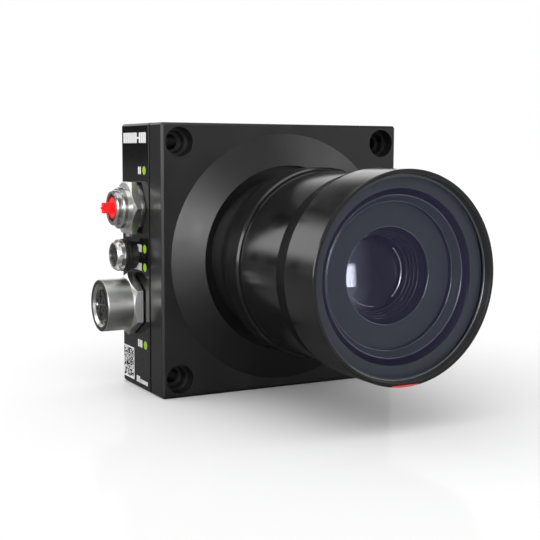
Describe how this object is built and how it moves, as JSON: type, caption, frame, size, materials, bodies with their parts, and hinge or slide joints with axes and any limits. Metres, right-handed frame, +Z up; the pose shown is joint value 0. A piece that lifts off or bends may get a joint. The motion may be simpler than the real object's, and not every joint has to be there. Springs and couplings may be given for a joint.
{
  "type": "machine vision camera",
  "caption": "Square black machine vision camera with a sealed cylindrical lens tube on the front and round threaded connectors on its left side.",
  "frame": {"origin": "centre of the housing's front face, on the lens tube's axis", "axes": "+Z up, -Y the way the camera looks, -X the side with the connectors"},
  "size_m": [0.0912, 0.0963, 0.08],
  "materials": {
    "housing_coat": "black fine powder coat",
    "tube_anodise": "black satin anodised",
    "seal_rubber": "black sealing rubber",
    "steel_screw": "stainless screws",
    "window_glass": "clear coated glass",
    "lens_glass": "coated lens glass",
    "index_mark": "red paint fill",
    "lens_anodise": "black anodised",
    "image_sensor": "dark ceramic",
    "sensor_die": "silicon",
    "circuit_board": "green circuit board",
    "chip_mould": "moulded package",
    "heat_pad": "grey thermal pad",
    "board_spacers": "nickel plated spacers",
    "light_pipes": "clear yellow-green",
    "nickel": "satin nickel",
    "coax_insert": "white insulator",
    "dust_plug": "red soft plastic",
    "black_plastic": "black moulded",
    "gold_contact": "gold plated"
  },
  "bodies": {
    "camera": {"front_plate": "housing_coat", "rear_housing": "housing_coat", "tube_base": "tube_anodise", "housing_gasket": "seal_rubber", "base_seal": "seal_rubber", "signal_seal": "seal_rubber", "data_gasket": "seal_rubber", "housing_screws": "steel_screw", "mount_screws": "steel_screw", "board_screws": "steel_screw", "filter_glass": "window_glass", "sensor_cover_glass": "window_glass", "lens_mount": "lens_anodise", "lens_barrel": "lens_anodise", "image_sensor": "image_sensor", "sensor_die": "sensor_die", "sensor_board": "circuit_board", "processor_board": "circuit_board", "light_board": "circuit_board", "interface_board": "circuit_board", "processor_chip": "chip_mould", "board_link": "chip_mould", "heat_pad": "heat_pad", "board_spacers": "board_spacers", "light_pipes": "light_pipes", "coax_shell": "nickel", "coax_ring": "nickel", "coax_washer": "nickel", "coax_nut": "nickel", "signal_ring": "nickel", "data_shell": "nickel", "data_shield": "nickel", "coax_insert": "coax_insert", "signal_body": "black_plastic", "signal_insert": "black_plastic", "data_insert": "black_plastic", "signal_pins": "gold_contact", "data_contacts": "gold_contact"},
    "lens_tube": {"lens_tube": "tube_anodise", "tube_seal": "seal_rubber", "window_seal": "seal_rubber", "front_window": "window_glass", "front_ring": "tube_anodise", "index_mark": "index_mark"},
    "focus_ring": {"focus_ring": "lens_anodise", "focus_lock_screw": "steel_screw"},
    "front_barrel": {"front_barrel": "lens_anodise", "front_baffle": "lens_anodise", "front_retainer": "lens_anodise", "front_element": "lens_glass", "middle_element": "lens_glass", "rear_element": "lens_glass", "aperture_stop": "lens_anodise"},
    "dust_plug": {"dust_plug": "dust_plug"}
  },
  "joints": [
    {"name": "tube_removal", "type": "slide", "parent": "camera", "child": "lens_tube", "axis": [0, -1, 0], "range_m": [0, 0.075]},
    {"name": "focus_turn", "type": "hinge", "parent": "camera", "child": "focus_ring", "pos_m": [0, 0, 0], "axis": [0, -1, 0], "range_deg": [-60, 45]},
    {"name": "focus_travel", "type": "slide", "parent": "camera", "child": "front_barrel", "axis": [0, -1, 0], "range_m": [-0.00099, 0.00074]},
    {"name": "plug_removal", "type": "slide", "parent": "camera", "child": "dust_plug", "axis": [-1, 0, 0], "range_m": [0, 0.012]}
  ],
  "couplings": [
    {"joint": "focus_turn", "follows": "focus_travel", "rad_per_m": 1052.6}
  ]
}
